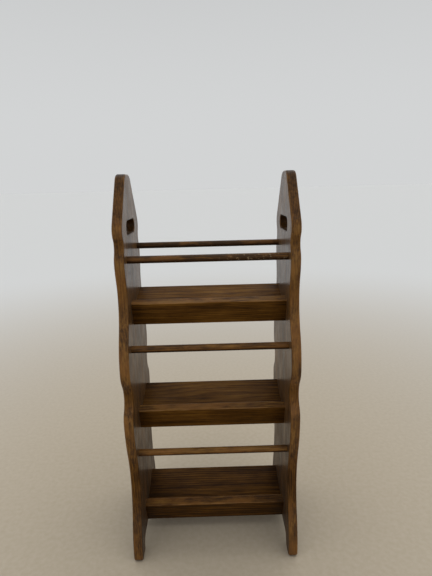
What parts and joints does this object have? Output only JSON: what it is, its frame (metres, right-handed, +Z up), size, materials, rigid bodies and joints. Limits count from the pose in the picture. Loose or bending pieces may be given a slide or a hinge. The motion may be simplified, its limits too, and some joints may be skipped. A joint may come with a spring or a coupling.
{
  "type": "tiered magazine rack",
  "caption": "Free-standing wooden magazine rack: two curved side panels with hand holes, sloping shelves with front lips one above the other, and round rails.",
  "frame": {"origin": "on the floor, at the middle of the rack's width and depth", "axes": "+Z up, -Y the front, where the lips and front rails are, +X to the right seen from the front"},
  "size_m": [0.337, 0.241, 0.7755],
  "materials": {
    "panel_wood": "satin lacquer over dark walnut stain",
    "shelf_wood": "satin lacquer over dark walnut stain",
    "lip_wood": "satin lacquer over dark walnut stain",
    "rail_wood": "satin lacquer over dark walnut stain",
    "plug_wood": "satin lacquer over dark walnut stain, end grain",
    "pin_wood": "bare",
    "screw_steel": "zinc plated"
  },
  "bodies": {
    "root": {"left_side_panel": "panel_wood", "right_side_panel": "panel_wood", "bottom_shelf": "shelf_wood", "bottom_lip": "lip_wood", "bottom_front_rail": "rail_wood", "bottom_lip_pins": "pin_wood", "bottom_left_screws": "screw_steel", "bottom_left_plugs": "plug_wood", "bottom_right_screws": "screw_steel", "bottom_right_plugs": "plug_wood", "middle_shelf": "shelf_wood", "middle_lip": "lip_wood", "middle_front_rail": "rail_wood", "middle_lip_pins": "pin_wood", "middle_left_screws": "screw_steel", "middle_left_plugs": "plug_wood", "middle_right_screws": "screw_steel", "middle_right_plugs": "plug_wood", "top_shelf": "shelf_wood", "top_lip": "lip_wood", "top_front_rail": "rail_wood", "top_lip_pins": "pin_wood", "top_left_screws": "screw_steel", "top_left_plugs": "plug_wood", "top_right_screws": "screw_steel", "top_right_plugs": "plug_wood", "top_back_rail": "rail_wood"}
  },
  "joints": []
}
